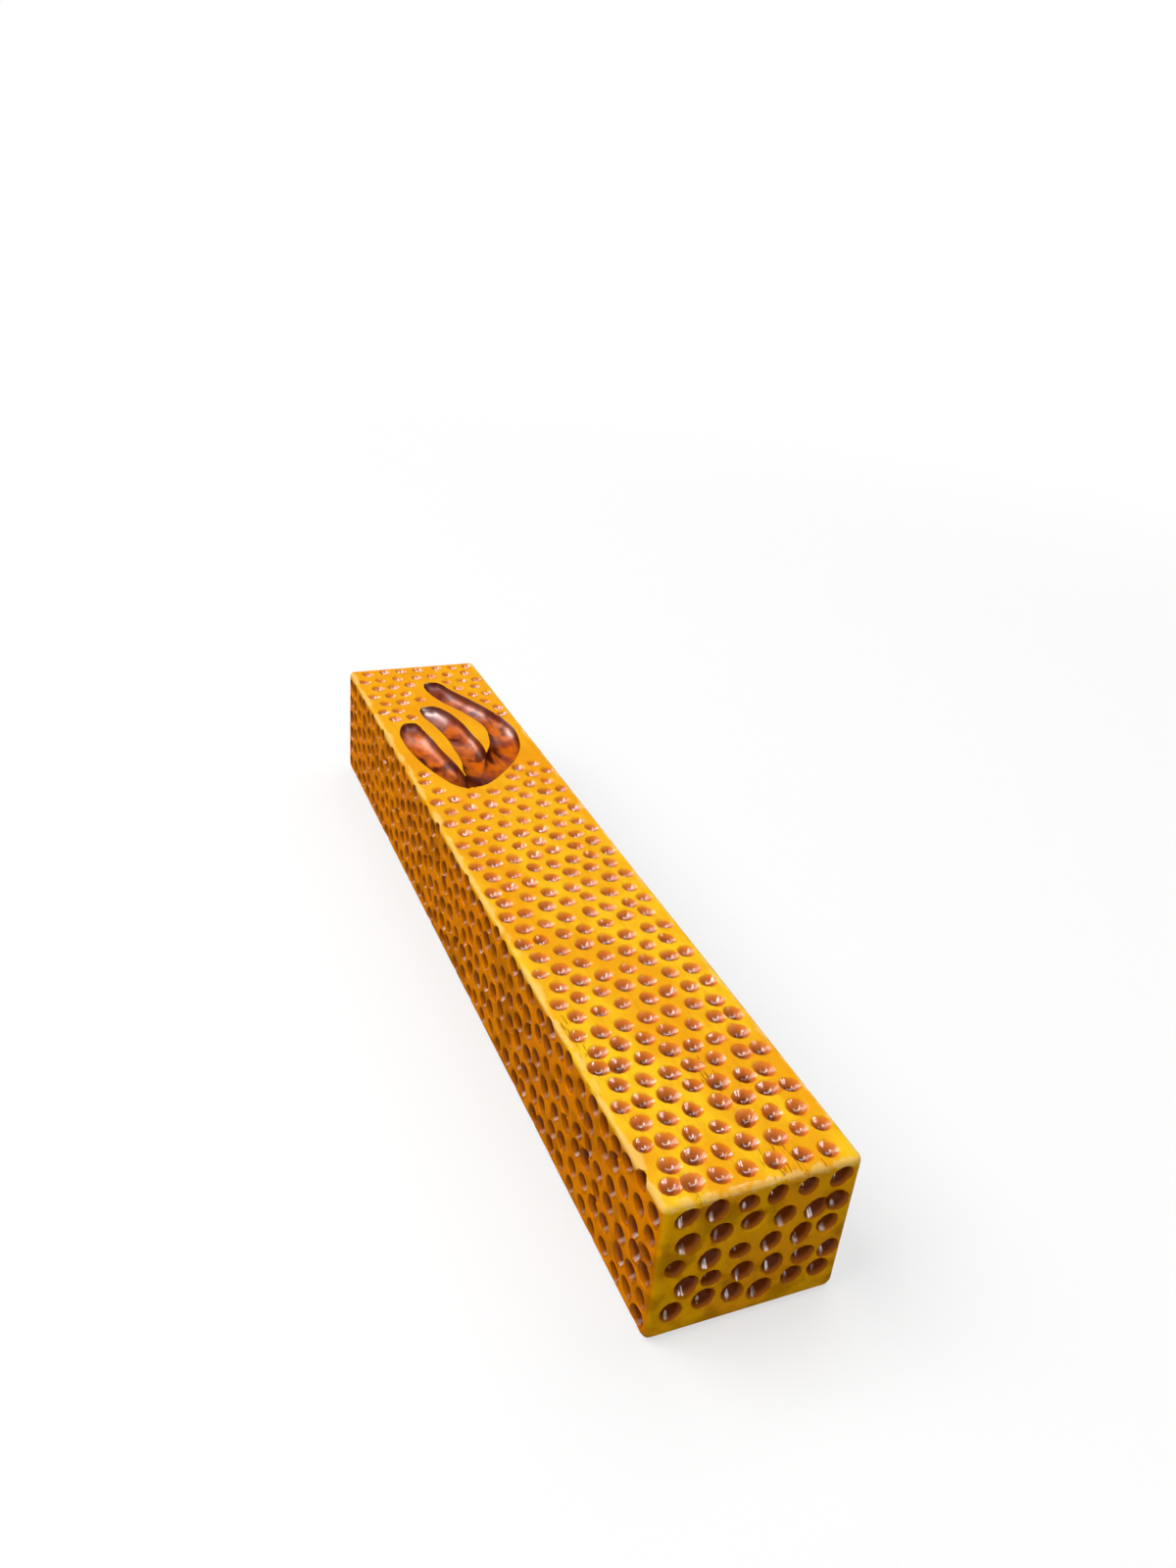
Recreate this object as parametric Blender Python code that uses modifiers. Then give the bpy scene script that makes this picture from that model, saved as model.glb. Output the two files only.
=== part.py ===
"""A carved wooden mezuzah case: a hollowed block, the lid that slides in its back, and the parchment inside.

The case lies on its back, as it does on a table. Z is 0 on the back, which goes against the doorpost, and
rises to the carved front. Y runs along the case towards its top end, and X runs across it. Lengths are
metres. The case is laid out from the inside: the rolled parchment sets the channel, and the channel sets the
block.
"""

import math
import random

import bmesh
import bpy
from mathutils import Matrix, Vector
from mathutils.geometry import intersect_point_line

# The rolled parchment
SCROLL_LENGTH = 0.1000
SCROLL_CORE_RADIUS = 0.0020
SCROLL_TURNS = 4
PARCHMENT_THICKNESS = 0.0004
PARCHMENT_GAP = 0.00045
SCROLL_REST_GAP = 0.0003
SCROLL_POINTS_PER_TURN = 20

# The routed channel, by the room that it leaves round the parchment
CHANNEL_SIDE_ROOM = 0.0007
CHANNEL_FRONT_ROOM = 0.0006
CHANNEL_END_ROOM = 0.0045

# The sliding lid, and the dovetail groove that it runs in, which is open at the top end
LID_THICKNESS = 0.0030
LID_RECESS = 0.0004
LID_SIDE_LEDGE = 0.0015
LID_FOOT_LEDGE = 0.0030
LID_EDGE_BREAK = 0.0004
DOVETAIL_ANGLE = math.radians(14)
SLIDE_CLEARANCE = 0.0003
NOTCH_WIDTH = 0.0090
NOTCH_DEPTH = 0.0011
NOTCH_FROM_TOP = 0.0120

# The wood left round the channel, and the rounding of the block's edges
SIDE_WALL = 0.0060
FRONT_WALL = 0.0051
FOOT_WALL = 0.0150
HEAD_WALL = 0.0150
FRONT_ROUND = 0.0007
CORNER_ROUND = 0.0010
BACK_ROUND = 0.0014
ROUND_SEGMENTS = 2

# The round hollows carved all over the front, the sides and the ends. Each carved field: hollow width and
# depth, pitch across, pitch of the rows, how far a hollow strays from its place, and how far a row is shifted
# aside, as a share of the pitch. A field has as many hollows as its face has room for.
FRONT_FIELD = (0.00290, 0.00098, 0.00342, 0.00335, 0.00016, 0.25)
SIDE_FIELD = (0.00315, 0.00135, 0.00327, 0.00346, 0.00027, 0.12)
FOOT_FIELD = (0.00330, 0.00145, 0.00388, 0.00358, 0.00022, 0.12)
TOP_FIELD = (0.00290, 0.00130, 0.00385, 0.00360, 0.00018, 0.20)
# Where the middle of each field lies, along its rows and then across them: the top end's rows clear the lid
# groove
FRONT_FIELD_MIDDLE = (0, 0.00045)
SIDE_FIELD_MIDDLE = (0.01055, 0)
FOOT_FIELD_MIDDLE = (0.0006, 0.0114)
TOP_FIELD_MIDDLE = (0, 0.0127)
# Hollows grow a little from the top end of the front to its foot
FRONT_SIZE_AT_TOP = 0.85
FRONT_SIZE_AT_FOOT = 1.10
HOLLOW_SIZE_SPREAD = 0.10
HOLLOW_TILT = math.radians(3)
HOLLOW_SIDES = 6
# How far a hollow's cutter starts outside the wood, as a share of its depth
HOLLOW_PROUD = 0.15
ROW_SLANT = 0.15
CARVING_SEED = 18

# The three-armed emblem gouged into the front. An arm is a row of places along its middle: across from the
# case's middle line, down from the case's top end, and the gouge's half width there, all in emblem units.
EMBLEM_UNIT = 0.001
EMBLEM_DEPTH = 0.0023
EMBLEM_STEPS = 2
# Hollows keep a land round the emblem: they are moved aside a little, or left out
EMBLEM_LAND = 0.00035
MOVED_ASIDE_MOST = 0.0015
LEAST_SPACING = 0.0027
# Beside the emblem's widest part the wood is left plain, from here to here below the top end
PLAIN_BAND = (0.025, 0.043)
LEFT_ARM = (
    (-7.0, 24.4, 0.4),
    (-7.1, 24.9, 1.1),
    (-7.4, 26.0, 1.7),
    (-7.8, 28.3, 2.3),
    (-7.7, 32.0, 2.6),
    (-7.3, 36.4, 2.65),
    (-6.5, 41.0, 2.5),
    (-5.7, 45.2, 2.1),
    (-4.9, 48.4, 1.35),
    (-4.0, 50.2, 0.6),
)
MIDDLE_ARM = (
    (-2.2, 18.3, 0.4),
    (-2.2, 18.8, 1.2),
    (-2.1, 19.9, 2.0),
    (-1.6, 22.3, 2.6),
    (-0.7, 26.0, 2.6),
    (-0.1, 31.5, 2.5),
    (0.1, 36.4, 2.6),
    (-0.3, 41.0, 2.4),
    (-1.0, 44.8, 2.4),
    (-1.8, 47.8, 1.8),
)
RIGHT_ARM = (
    (1.2, 7.9, 0.4),
    (1.2, 8.4, 1.2),
    (1.4, 9.8, 1.9),
    (1.9, 12.6, 2.25),
    (3.0, 15.6, 2.45),
    (6.0, 22.2, 2.4),
    (7.9, 29.0, 2.45),
    (7.6, 33.0, 2.65),
    (5.5, 39.0, 2.65),
    (0.2, 45.5, 2.6),
    (-2.3, 48.0, 2.15),
    (-3.4, 49.2, 1.5),
    (-3.9, 50.0, 0.7),
)
EMBLEM_ARMS = {"left_arm": LEFT_ARM, "middle_arm": MIDDLE_ARM, "right_arm": RIGHT_ARM}

ROUND_SIDES = 28
CUT_PAST = 0.001

# Places that the sizes above settle, from the back to the front and from the foot to the top end
ROLL_RADIUS = SCROLL_CORE_RADIUS + SCROLL_TURNS * (PARCHMENT_THICKNESS + PARCHMENT_GAP) + PARCHMENT_THICKNESS
LID_INNER = LID_RECESS + LID_THICKNESS
GROOVE_FLOOR = LID_INNER + SLIDE_CLEARANCE
CHANNEL_FLOOR = LID_INNER + SCROLL_REST_GAP + 2 * ROLL_RADIUS + CHANNEL_FRONT_ROOM
CASE_DEPTH = CHANNEL_FLOOR + FRONT_WALL
CHANNEL_ROUND = ROLL_RADIUS + CHANNEL_SIDE_ROOM
CASE_WIDTH = 2 * (CHANNEL_ROUND + SIDE_WALL)
# The half-round ends of the channel keep the roll's square ends this far away
ROUND_END_LOSS = CHANNEL_ROUND - math.sqrt(CHANNEL_ROUND**2 - ROLL_RADIUS**2)
CHANNEL_LENGTH = SCROLL_LENGTH + 2 * ROUND_END_LOSS + SCROLL_REST_GAP + CHANNEL_END_ROOM
CASE_LENGTH = FOOT_WALL + CHANNEL_LENGTH + HEAD_WALL
TOP_END = CASE_LENGTH / 2
FOOT_END = -CASE_LENGTH / 2
CHANNEL_FOOT = FOOT_END + FOOT_WALL
LID_TOP_END = TOP_END - SLIDE_CLEARANCE
# The room that each carved face has for hollows, along its rows and then across them
FRONT_ROOM = (CASE_WIDTH, CASE_LENGTH)
SIDE_ROOM = (CASE_DEPTH, CASE_LENGTH)
FOOT_ROOM = (CASE_WIDTH, CASE_DEPTH)
TOP_ROOM = (CASE_WIDTH, CASE_DEPTH - GROOVE_FLOOR)


def clear_scene():
    for old in list(bpy.data.objects):
        bpy.data.objects.remove(old, do_unlink=True)


def add_collection(name):
    made = bpy.data.collections.new(name)
    bpy.context.scene.collection.children.link(made)
    return made


def make_material(name, colour, roughness):
    made = bpy.data.materials.new(name)
    made.use_nodes = True
    shader = made.node_tree.nodes["Principled BSDF"]
    shader.inputs["Base Color"].default_value = (*colour, 1.0)
    shader.inputs["Roughness"].default_value = roughness
    shader.inputs["Metallic"].default_value = 0.0
    made.diffuse_color = (*colour, 1.0)
    return made


def add_object(name, shape, collection):
    """A mesh object from a bmesh, which is used up."""
    mesh = bpy.data.meshes.new(name)
    shape.to_mesh(mesh)
    shape.free()
    made = bpy.data.objects.new(name, mesh)
    collection.objects.link(made)
    return made


def add_cutter(name, shape, collection):
    """A shape that is taken away from a piece and is no piece itself."""
    cutter = add_object(name, shape, collection)
    cutter.hide_render = True
    cutter.display_type = "WIRE"
    return cutter


def cut_with(part, cutter):
    cut = part.modifiers.new(cutter.name, "BOOLEAN")
    cut.operation = "DIFFERENCE"
    cut.solver = "EXACT"
    cut.object = cutter


def shade_round(part):
    part.data.shade_smooth()
    part.data.set_sharp_from_angle(angle=math.radians(30))


def groove_half_width(height, clearance):
    """Half the dovetail's width at a height above the case's back."""
    ledge = CHANNEL_ROUND + LID_SIDE_LEDGE + clearance
    return ledge + (height - LID_RECESS) * math.tan(DOVETAIL_ANGLE)


# The middle of the dovetail's round foot, set by the ledge that the lid has below the channel
DOVETAIL_FOOT_CENTRE = CHANNEL_FOOT - LID_FOOT_LEDGE + groove_half_width(GROOVE_FLOOR, SLIDE_CLEARANCE)


def dovetail_bar(low, high, clearance, top_end):
    """A dovetail bar with a round foot, that runs along Y to a square top end."""
    shape = bmesh.new()
    bmesh.ops.create_cone(
        shape,
        cap_ends=True,
        segments=ROUND_SIDES,
        radius1=groove_half_width(low, clearance),
        radius2=groove_half_width(high, clearance),
        depth=high - low,
        matrix=Matrix.Translation((0, DOVETAIL_FOOT_CENTRE, (low + high) / 2)),
    )
    halved = bmesh.ops.bisect_plane(
        shape,
        geom=shape.verts[:] + shape.edges[:] + shape.faces[:],
        plane_co=(0, DOVETAIL_FOOT_CENTRE, 0),
        plane_no=(0, 1, 0),
        clear_outer=True,
    )
    rim = [item for item in halved["geom_cut"] if isinstance(item, bmesh.types.BMEdge)]
    drawn = bmesh.ops.extrude_edge_only(shape, edges=rim)["geom"]
    far_corners = [item for item in drawn if isinstance(item, bmesh.types.BMVert)]
    far_edges = [item for item in drawn if isinstance(item, bmesh.types.BMEdge)]
    bmesh.ops.translate(shape, verts=far_corners, vec=(0, top_end - DOVETAIL_FOOT_CENTRE, 0))
    bmesh.ops.contextual_create(shape, geom=far_edges)
    bmesh.ops.recalc_face_normals(shape, faces=shape.faces[:])
    return shape


def routed_slot(width, length, low, high, foot):
    """What a straight router bit leaves: an upright slot along Y with half-round ends."""
    shape = bmesh.new()
    half_step = Matrix.Rotation(math.pi / ROUND_SIDES, 4, "Z")
    bmesh.ops.create_cone(
        shape,
        cap_ends=True,
        segments=ROUND_SIDES,
        radius1=width / 2,
        radius2=width / 2,
        depth=high - low,
        matrix=Matrix.Translation((0, 0, (low + high) / 2)) @ half_step,
    )
    stretch = (length - width) / 2
    for corner in shape.verts:
        corner.co.y += foot + length / 2 + math.copysign(stretch, corner.co.y)
    return shape


def staggered_rows(field, room, middle, dice, slant):
    """Hollow places on a flat field, as (pass, across, along), in staggered rows that a hand set out."""
    width, depth, pitch, row_pitch, stray, stagger = field
    per_row = int(room[0] / pitch)
    rows = int(room[1] / row_pitch)
    half_length = rows * row_pitch / 2
    places = []
    for row in range(rows):
        level = (row - (rows - 1) / 2) * row_pitch
        shift = stagger * pitch if row % 2 else -stagger * pitch
        # Rows slant most half-way along the field, and lie square at its ends
        row_slant = slant * (1 - (level / half_length) ** 2)
        for column in range(per_row):
            across = (column - (per_row - 1) / 2) * pitch + shift
            along = level + row_slant * across
            across += dice.gauss(0, stray)
            along += dice.gauss(0, stray)
            places.append((2 * (row % 2) + column % 2, middle[0] + across, middle[1] + along))
    return places


def arm_places(arm):
    """An emblem arm's places in metres: across, along and half width."""
    return [(x * EMBLEM_UNIT, TOP_END - drop * EMBLEM_UNIT, half * EMBLEM_UNIT) for x, drop, half in arm]


def aside_from_emblem(spot, reach):
    """How a hollow on the front has to move so that it leaves a land round the emblem's arms."""
    move = Vector((0, 0))
    for arm in EMBLEM_ARMS.values():
        places = [Vector(place) for place in arm_places(arm)]
        for start, end in zip(places, places[1:]):
            share = intersect_point_line(spot, start.xy, end.xy)[1]
            nearest = start.lerp(end, min(max(share, 0), 1))
            away = spot - nearest.xy
            needed = nearest.z + reach + EMBLEM_LAND - away.length
            if needed > move.length:
                move = away.normalized() * needed
    return move


def front_hollows(dice):
    """Places and sizes of the hollows on the front, as (pass, spot, size), set out round the emblem."""
    kept = []
    moved = []
    for group, x, y in staggered_rows(FRONT_FIELD, FRONT_ROOM, FRONT_FIELD_MIDDLE, dice, ROW_SLANT):
        if PLAIN_BAND[0] < TOP_END - y < PLAIN_BAND[1]:
            continue
        spot = Vector((x, y))
        share = (y - FOOT_END) / CASE_LENGTH
        size = FRONT_SIZE_AT_FOOT + (FRONT_SIZE_AT_TOP - FRONT_SIZE_AT_FOOT) * share
        move = aside_from_emblem(spot, size * FRONT_FIELD[0] / 2)
        if not move.length:
            kept.append((group, spot, size))
        elif move.length < MOVED_ASIDE_MOST:
            moved.append((spot + move, size))
    for spot, size in moved:
        nearest = min((spot - other).length for _, other, _ in kept)
        still_near = aside_from_emblem(spot, size * FRONT_FIELD[0] / 2).length
        if nearest > LEAST_SPACING and still_near < EMBLEM_UNIT / 100:
            kept.append((4 + len(kept) % 5, spot, size))
    return kept


def hollows_cutters(collection):
    """Every hollow, in passes in which no two touch. A hollow that would break an edge is moved in a little."""
    dice = random.Random(CARVING_SEED)
    half = CASE_WIDTH / 2
    passes = {}

    def add_pit(group, place, outward, width, depth, low, high):
        radius = width / 2 * dice.uniform(1 - HOLLOW_SIZE_SPREAD, 1 + HOLLOW_SIZE_SPREAD)
        depth *= dice.uniform(1 - HOLLOW_SIZE_SPREAD, 1 + HOLLOW_SIZE_SPREAD)
        stretch = dice.uniform(1 - HOLLOW_SIZE_SPREAD, 1 + HOLLOW_SIZE_SPREAD)
        tilt = Matrix.Rotation(dice.uniform(-HOLLOW_TILT, HOLLOW_TILT), 4, "X")
        turn = Matrix.Rotation(dice.uniform(0, math.pi), 4, "Z")
        reach = radius * max(stretch, 1 / stretch)
        for axis in range(3):
            if not outward[axis]:
                place[axis] = min(max(place[axis], low[axis] + reach), high[axis] - reach)
        facing = outward.to_track_quat("Z", "Y").to_matrix().to_4x4()
        size = Matrix.Diagonal((radius * stretch, radius / stretch, depth, 1))
        bmesh.ops.create_cone(
            passes.setdefault(group, bmesh.new()),
            cap_ends=True,
            segments=HOLLOW_SIDES,
            radius1=0,
            radius2=1 + HOLLOW_PROUD,
            depth=1 + HOLLOW_PROUD,
            matrix=Matrix.Translation(place)
            @ facing
            @ turn
            @ tilt
            @ size
            @ Matrix.Translation((0, 0, (HOLLOW_PROUD - 1) / 2)),
        )

    low = Vector((CORNER_ROUND - half, FOOT_END + CORNER_ROUND, BACK_ROUND))
    high = Vector((half - CORNER_ROUND, TOP_END - CORNER_ROUND, CASE_DEPTH - FRONT_ROUND))
    above_groove = Vector((low.x, low.y, GROOVE_FLOOR))
    for group, spot, size in front_hollows(dice):
        width, depth = (size * measure for measure in FRONT_FIELD[:2])
        add_pit(("front", group), Vector((*spot, CASE_DEPTH)), Vector((0, 0, 1)), width, depth, low, high)
    for side in (-1, 1):
        for group, z, y in staggered_rows(SIDE_FIELD, SIDE_ROOM, SIDE_FIELD_MIDDLE, dice, 0):
            place = Vector((side * half, y, z))
            add_pit(("sides", group), place, Vector((side, 0, 0)), *SIDE_FIELD[:2], low, high)
    ends = (
        (FOOT_END, FOOT_FIELD, FOOT_ROOM, FOOT_FIELD_MIDDLE, low),
        (TOP_END, TOP_FIELD, TOP_ROOM, TOP_FIELD_MIDDLE, above_groove),
    )
    for end, field, room, middle, lowest in ends:
        for group, x, z in staggered_rows(field, room, middle, dice, 0):
            outward = Vector((0, math.copysign(1, end), 0))
            add_pit(("ends", group), Vector((x, end, z)), outward, *field[:2], lowest, high)
    cutters = []
    for (face, group), shape in passes.items():
        cutters.append(add_cutter(f"hollows_{face}_{group}", shape, collection))
    return cutters


def gouge_cutter(name, arm, collection):
    """The round-bottomed stroke of a gouge along one arm of the emblem."""
    curve = bpy.data.curves.new(name, "CURVE")
    curve.dimensions = "3D"
    curve.bevel_depth = EMBLEM_UNIT
    curve.bevel_resolution = 2
    curve.resolution_u = EMBLEM_STEPS
    curve.render_resolution_u = 0
    curve.use_fill_caps = True
    spline = curve.splines.new("BEZIER")
    spline.radius_interpolation = "CARDINAL"
    spline.bezier_points.add(len(arm) - 1)
    for point, (x, y, half_width) in zip(spline.bezier_points, arm_places(arm)):
        point.co = (x, y, 0)
        point.radius = half_width / EMBLEM_UNIT
        point.handle_left_type = "AUTO"
        point.handle_right_type = "AUTO"
    stroke = bpy.data.objects.new(name, curve)
    collection.objects.link(stroke)
    drawn = stroke.evaluated_get(bpy.context.evaluated_depsgraph_get())
    shape = bmesh.new()
    shape.from_mesh(bpy.data.meshes.new_from_object(drawn))
    bpy.data.objects.remove(stroke, do_unlink=True)
    bmesh.ops.remove_doubles(shape, verts=shape.verts[:], dist=EMBLEM_UNIT / 1000)
    bmesh.ops.recalc_face_normals(shape, faces=shape.faces[:])
    # The stroke is as deep as the emblem where the gouge was widest, and shallower where it was narrower
    widest = EMBLEM_UNIT * max(half for places in EMBLEM_ARMS.values() for _, _, half in places)
    bmesh.ops.scale(shape, verts=shape.verts[:], vec=(1, 1, EMBLEM_DEPTH / widest))
    bmesh.ops.translate(shape, verts=shape.verts[:], vec=(0, 0, CASE_DEPTH))
    return add_cutter(name, shape, collection)


def rounded_block():
    """The block before it is hollowed, with its edges marked for how much each is rounded."""
    shape = bmesh.new()
    size = Matrix.Diagonal((CASE_WIDTH, CASE_LENGTH, CASE_DEPTH, 1))
    bmesh.ops.create_cube(shape, size=1, matrix=Matrix.Translation((0, 0, CASE_DEPTH / 2)) @ size)
    weight = shape.edges.layers.float.new("bevel_weight_edge")
    widest = max(FRONT_ROUND, CORNER_ROUND, BACK_ROUND)
    for edge in shape.edges:
        heights = [corner.co.z for corner in edge.verts]
        if min(heights) > CASE_DEPTH / 2:
            edge[weight] = FRONT_ROUND / widest
        elif max(heights) < CASE_DEPTH / 2:
            edge[weight] = BACK_ROUND / widest
        else:
            edge[weight] = CORNER_ROUND / widest
    return shape


def carved_block(collection, cutters, material):
    """The block with its rounded edges, its lid groove, its parchment channel and its carving."""
    block = add_object("case_body", rounded_block(), collection)
    block.data.materials.append(material)
    rounding = block.modifiers.new("rounded_edges", "BEVEL")
    rounding.limit_method = "WEIGHT"
    rounding.width = max(FRONT_ROUND, CORNER_ROUND, BACK_ROUND)
    rounding.segments = ROUND_SEGMENTS
    groove = dovetail_bar(-CUT_PAST, GROOVE_FLOOR, SLIDE_CLEARANCE, TOP_END + CUT_PAST)
    cut_with(block, add_cutter("lid_groove", groove, cutters))
    channel = routed_slot(2 * CHANNEL_ROUND, CHANNEL_LENGTH, 0, CHANNEL_FLOOR, CHANNEL_FOOT)
    cut_with(block, add_cutter("parchment_channel", channel, cutters))
    for cutter in hollows_cutters(cutters):
        cut_with(block, cutter)
    for name, arm in EMBLEM_ARMS.items():
        cut_with(block, gouge_cutter(name, arm, cutters))
    shade_round(block)


def sliding_lid(collection, cutters, material):
    """The dovetailed lid, with a thumbnail notch in its outer face to push it out by."""
    lid = add_object("back_lid", dovetail_bar(LID_RECESS, LID_INNER, 0, LID_TOP_END), collection)
    lid.data.materials.append(material)
    edges = lid.modifiers.new("broken_edges", "BEVEL")
    edges.limit_method = "ANGLE"
    edges.angle_limit = math.radians(40)
    edges.width = LID_EDGE_BREAK
    edges.segments = 1
    # A ball that is as wide as the notch where it meets the lid's outer face
    ball_radius = (NOTCH_WIDTH**2 / 4 + NOTCH_DEPTH**2) / (2 * NOTCH_DEPTH)
    notch_wall = TOP_END - NOTCH_FROM_TOP
    notch = bmesh.new()
    bmesh.ops.create_uvsphere(
        notch,
        u_segments=ROUND_SIDES * 2,
        v_segments=ROUND_SIDES,
        radius=ball_radius,
        matrix=Matrix.Translation((0, notch_wall, LID_RECESS + NOTCH_DEPTH - ball_radius)),
    )
    # The scoop's side towards the top end is a straight wall for the thumbnail
    bmesh.ops.bisect_plane(
        notch,
        geom=notch.verts[:] + notch.edges[:] + notch.faces[:],
        plane_co=(0, notch_wall, 0),
        plane_no=(0, 1, 0),
        clear_outer=True,
    )
    bmesh.ops.holes_fill(notch, edges=notch.edges[:])
    bmesh.ops.recalc_face_normals(notch, faces=notch.faces[:])
    cut_with(lid, add_cutter("thumb_notch", notch, cutters))
    shade_round(lid)


def spiral_point(turn, offset):
    radius = SCROLL_CORE_RADIUS + turn * (PARCHMENT_THICKNESS + PARCHMENT_GAP) + offset
    angle = 2 * math.pi * turn
    return radius * math.cos(angle), radius * math.sin(angle)


def rolled_parchment(collection, material):
    """One sheet rolled up from its inner edge, lying on the lid at the foot of the channel."""
    steps = SCROLL_TURNS * SCROLL_POINTS_PER_TURN
    turns = [step / SCROLL_POINTS_PER_TURN for step in range(steps + 1)]
    inner = [spiral_point(turn, 0) for turn in turns]
    outer = [spiral_point(turn, PARCHMENT_THICKNESS) for turn in turns]
    outline = inner + outer[::-1]
    curve = bpy.data.curves.new("scroll", "CURVE")
    curve.dimensions = "2D"
    curve.fill_mode = "BOTH"
    curve.extrude = SCROLL_LENGTH / 2
    curve.materials.append(material)
    spline = curve.splines.new("POLY")
    spline.points.add(len(outline) - 1)
    for point, (x, y) in zip(spline.points, outline):
        point.co = (x, y, 0, 1)
    spline.use_cyclic_u = True
    scroll = bpy.data.objects.new("scroll", curve)
    collection.objects.link(scroll)
    middle = CHANNEL_FOOT + ROUND_END_LOSS + SCROLL_REST_GAP + SCROLL_LENGTH / 2
    scroll.rotation_euler = (math.pi / 2, 0, 0)
    scroll.location = (0, middle, LID_INNER + SCROLL_REST_GAP + ROLL_RADIUS)


def main():
    clear_scene()
    pieces = add_collection("mezuzah_case")
    cutters = add_collection("cutters")
    amber_wood = make_material("amber_stained_wood", (0.80, 0.40, 0.03), 0.25)
    bare_wood = make_material("plain_oiled_wood", (0.62, 0.42, 0.22), 0.55)
    parchment = make_material("parchment", (0.83, 0.74, 0.56), 0.6)
    carved_block(pieces, cutters, amber_wood)
    sliding_lid(pieces, cutters, bare_wood)
    rolled_parchment(pieces, parchment)


main()
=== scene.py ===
"""The finished look of a carved wooden mezuzah case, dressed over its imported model.

The case lies on its back: Z is 0 on the back and rises to the carved front, Y runs along the case towards its
top end, and X runs across it. Lengths are metres unless a name ends in _MM.
"""

import math
import random

import bmesh
import bpy
from mathutils import Matrix, Vector, noise
from mathutils.geometry import intersect_point_line


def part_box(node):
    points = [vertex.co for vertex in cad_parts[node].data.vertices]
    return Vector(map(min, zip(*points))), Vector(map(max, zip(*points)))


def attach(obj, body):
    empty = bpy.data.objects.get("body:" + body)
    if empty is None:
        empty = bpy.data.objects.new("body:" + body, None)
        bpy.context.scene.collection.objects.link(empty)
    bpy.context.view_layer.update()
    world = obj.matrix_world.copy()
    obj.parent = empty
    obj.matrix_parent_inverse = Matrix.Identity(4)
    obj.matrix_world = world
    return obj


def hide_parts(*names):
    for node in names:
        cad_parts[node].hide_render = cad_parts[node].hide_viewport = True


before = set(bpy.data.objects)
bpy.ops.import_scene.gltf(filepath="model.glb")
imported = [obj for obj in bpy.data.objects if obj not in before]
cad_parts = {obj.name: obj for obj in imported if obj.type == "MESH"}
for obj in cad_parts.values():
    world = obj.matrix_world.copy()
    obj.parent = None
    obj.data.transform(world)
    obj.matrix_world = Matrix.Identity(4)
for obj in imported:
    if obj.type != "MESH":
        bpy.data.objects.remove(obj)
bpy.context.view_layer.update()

MM = 0.001
BLOCK_LOW, BLOCK_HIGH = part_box("case_body")
SCROLL_LOW, SCROLL_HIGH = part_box("scroll")
HALF_WIDTH = BLOCK_HIGH.x
HALF_LENGTH = BLOCK_HIGH.y
FRONT = BLOCK_HIGH.z

# The block's edges, worn round by hand
FRONT_ROUND = 0.8 * MM
CORNER_ROUND = 1.0 * MM
BACK_ROUND = 1.4 * MM
ROUND_SEGMENTS = 4

# The hollows are cut as if by a blunt countersink: a straight-walled cone with a small round bottom and a
# soft lip. Its outline is (share of its half width, share of its depth), from a cap outside the wood to its
# bottom.
BOWL_SIDES = 12
BOWL_OUTLINE = (
    (0, 0.20),
    (1.65, 0.20),
    (0.93, -0.03),
    (0.83, -0.20),
    (0.56, -0.64),
    (0.30, -0.91),
    (0, -1),
)
BOWL_SIZE_SPREAD = 0.10
BOWL_TILT = math.radians(3)
CARVING_SEED = 18
# The land that hollows keep from the edges that they don't break
EDGE_LAND = 0.45 * MM

# Each carved field: hollow width and depth, pitch across, hollows in a row, pitch of the rows, number of
# rows, how far a hollow strays from its place, and how far a row is shifted aside, as a share of the pitch
FRONT_FIELD = (2.90 * MM, 0.98 * MM, 3.42 * MM, 7, 3.35 * MM, 42, 0.16 * MM, 0.25)
SIDE_FIELD = (3.15 * MM, 1.35 * MM, 3.27 * MM, 6, 3.46 * MM, 41, 0.27 * MM, 0.12)
FOOT_FIELD = (3.30 * MM, 1.45 * MM, 3.88 * MM, 6, 3.58 * MM, 5, 0.22 * MM, 0.12)
TOP_FIELD = (2.90 * MM, 1.30 * MM, 3.85 * MM, 6, 3.60 * MM, 4, 0.18 * MM, 0.20)
ROW_SLANT = 0.15
# Where the middle of each field lies, along its rows and then across them: the top end's rows clear the lid
# groove
FRONT_FIELD_MIDDLE = (0, 0.45 * MM)
SIDE_FIELD_MIDDLE = (10.55 * MM, 0)
FOOT_FIELD_MIDDLE = (0.6 * MM, 11.4 * MM)
TOP_FIELD_MIDDLE = (0, 12.7 * MM)
# Hollows grow a little from the top end of the front to its foot
FRONT_SIZE_AT_TOP = 0.85
FRONT_SIZE_AT_FOOT = 1.10

# The three-armed emblem: places along each arm's middle, as millimetres across from the case's middle line,
# down from its top end, and the gouge's half width there
LEFT_ARM_MM = (
    (-7.0, 24.4, 0.4),
    (-7.1, 24.9, 1.1),
    (-7.4, 26.0, 1.7),
    (-7.8, 28.3, 2.3),
    (-7.7, 32.0, 2.6),
    (-7.3, 36.4, 2.65),
    (-6.5, 41.0, 2.5),
    (-5.7, 45.2, 2.1),
    (-4.9, 48.4, 1.35),
    (-4.0, 50.2, 0.6),
)
MIDDLE_ARM_MM = (
    (-2.2, 18.3, 0.4),
    (-2.2, 18.8, 1.2),
    (-2.1, 19.9, 2.0),
    (-1.6, 22.3, 2.6),
    (-0.7, 26.0, 2.6),
    (-0.1, 31.5, 2.5),
    (0.1, 36.4, 2.6),
    (-0.3, 41.0, 2.4),
    (-1.0, 44.8, 2.4),
    (-1.8, 47.8, 1.8),
)
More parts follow.
